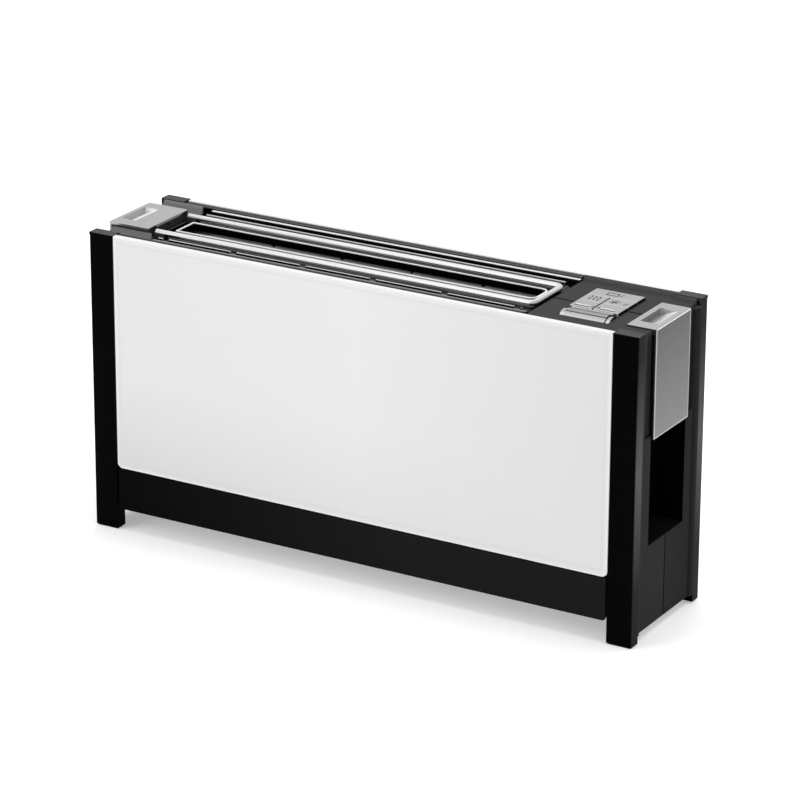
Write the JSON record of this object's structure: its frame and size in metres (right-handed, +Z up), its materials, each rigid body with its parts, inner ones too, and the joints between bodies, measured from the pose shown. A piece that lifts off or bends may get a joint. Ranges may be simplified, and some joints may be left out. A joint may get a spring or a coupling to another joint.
{
  "type": "long slot toaster",
  "caption": "Long slot toaster with white glass sides, satin black ends, a wire bun rack over the slot, silver keys, a thumb roller and a lever in each end.",
  "frame": {"origin": "on the floor, below the middle of the case", "axes": "+X along the slot towards the keys, +Y to the rear, +Z up"},
  "size_m": [0.42, 0.098, 0.2159],
  "materials": {
    "black_shell": "satin black",
    "white_glass": "polished, white behind",
    "dark_rail": "dark anodised, satin",
    "bright_cap": "satin with bright edges",
    "black_plastic": "fine matt",
    "grey_plastic": "satin dark grey",
    "deck_steel": "pressed, satin",
    "chrome_wire": "polished",
    "silver_keys": "silver lacquer",
    "zinc_sheet": "zinc plated",
    "mica": "matt",
    "ribbon_alloy": "oxidised",
    "brass_bush": "turned",
    "copper_coil": "lacquered winding",
    "gear_plastic": "natural acetal",
    "board_green": "coated board",
    "rubber_pad": "matt"
  },
  "bodies": {
    "case": {"right_front_shell": "black_shell", "right_rear_shell": "black_shell", "left_front_shell": "black_shell", "left_rear_shell": "black_shell", "front_base_rail": "black_shell", "rear_base_rail": "black_shell", "front_glass_panel": "white_glass", "rear_glass_panel": "white_glass", "front_top_rail": "dark_rail", "rear_top_rail": "dark_rail", "front_vent_rail": "dark_rail", "rear_vent_rail": "dark_rail", "left_front_pedestal": "grey_plastic", "left_rear_pedestal": "grey_plastic", "cord_gland": "black_plastic", "browning_sensor": "black_plastic", "key_switches": "black_plastic", "slot_deck": "deck_steel", "lift_guide_rods": "chrome_wire", "rack_guide_rods": "chrome_wire", "pinion_axle": "chrome_wire", "lift_spring": "chrome_wire", "front_bread_guard": "chrome_wire", "rear_bread_guard": "chrome_wire", "key_frame": "silver_keys", "base_plate": "zinc_sheet", "left_chamber_wall": "zinc_sheet", "right_chamber_wall": "zinc_sheet", "front_reflector": "zinc_sheet", "rear_reflector": "zinc_sheet", "solenoid_core": "zinc_sheet", "base_screws": "zinc_sheet", "front_mica_board": "mica", "rear_mica_board": "mica", "front_heating_ribbon": "ribbon_alloy", "rear_heating_ribbon": "ribbon_alloy", "solenoid_coil": "copper_coil", "control_board": "board_green", "foot_pads": "rubber_pad"},
    "toast_lift": {"toast_lever": "black_plastic", "toast_lever_cap": "bright_cap", "lift_carriage": "zinc_sheet", "carriage_bushes": "brass_bush", "bread_support": "chrome_wire", "latch_armature": "zinc_sheet"},
    "rack_lift": {"bun_rack": "chrome_wire", "rack_carrier": "black_plastic"},
    "rack_lever": {"rack_lever": "black_plastic", "rack_lever_cap": "bright_cap"},
    "pinion": {"lift_pinion": "gear_plastic"},
    "roller": {"browning_roller": "silver_keys"},
    "tray": {"crumb_tray": "zinc_sheet"},
    "strip_key": {"strip_key": "silver_keys"},
    "front_left_key": {"front_left_key": "silver_keys"},
    "front_right_key": {"front_right_key": "silver_keys"},
    "rear_left_key": {"rear_left_key": "silver_keys"},
    "rear_right_key": {"rear_right_key": "silver_keys"}
  },
  "joints": [
    {"name": "toast_slide", "type": "slide", "parent": "case", "child": "toast_lift", "axis": [0, 0, -1], "range_m": [0, 0.07], "stiffness_N_per_m": 40, "springref_m": -0.08, "deforming": ["lift_spring"]},
    {"name": "rack_rise", "type": "slide", "parent": "case", "child": "rack_lift", "axis": [0, 0, 1], "range_m": [0, 0.035]},
    {"name": "rack_lever_slide", "type": "slide", "parent": "case", "child": "rack_lever", "axis": [0, 0, -1], "range_m": [0, 0.07]},
    {"name": "pinion_turn", "type": "hinge", "parent": "case", "child": "pinion", "pos_m": [-0.171, 0, 0.124], "axis": [1, 0, 0], "range_deg": [0, 243.5]},
    {"name": "browning_turn", "type": "hinge", "parent": "case", "child": "roller", "pos_m": [0.158, -0.0195, 0.206], "axis": [1, 0, 0], "range_deg": [-120, 120]},
    {"name": "tray_slide", "type": "slide", "parent": "case", "child": "tray", "axis": [0, 1, 0], "range_m": [0, 0.085]},
    {"name": "strip_key_press", "type": "slide", "parent": "case", "child": "strip_key", "axis": [0, 0, -1], "range_m": [0, 0.001], "stiffness_N_per_m": 1200, "springref_m": -0.0005},
    {"name": "front_left_key_press", "type": "slide", "parent": "case", "child": "front_left_key", "axis": [0, 0, -1], "range_m": [0, 0.001], "stiffness_N_per_m": 1200, "springref_m": -0.0005},
    {"name": "front_right_key_press", "type": "slide", "parent": "case", "child": "front_right_key", "axis": [0, 0, -1], "range_m": [0, 0.001], "stiffness_N_per_m": 1200, "springref_m": -0.0005},
    {"name": "rear_left_key_press", "type": "slide", "parent": "case", "child": "rear_left_key", "axis": [0, 0, -1], "range_m": [0, 0.001], "stiffness_N_per_m": 1200, "springref_m": -0.0005},
    {"name": "rear_right_key_press", "type": "slide", "parent": "case", "child": "rear_right_key", "axis": [0, 0, -1], "range_m": [0, 0.001], "stiffness_N_per_m": 1200, "springref_m": -0.0005}
  ],
  "couplings": [
    {"joint": "rack_lever_slide", "follows": "rack_rise", "ratio": 2},
    {"joint": "pinion_turn", "follows": "rack_rise", "rad_per_m": 121.21}
  ]
}
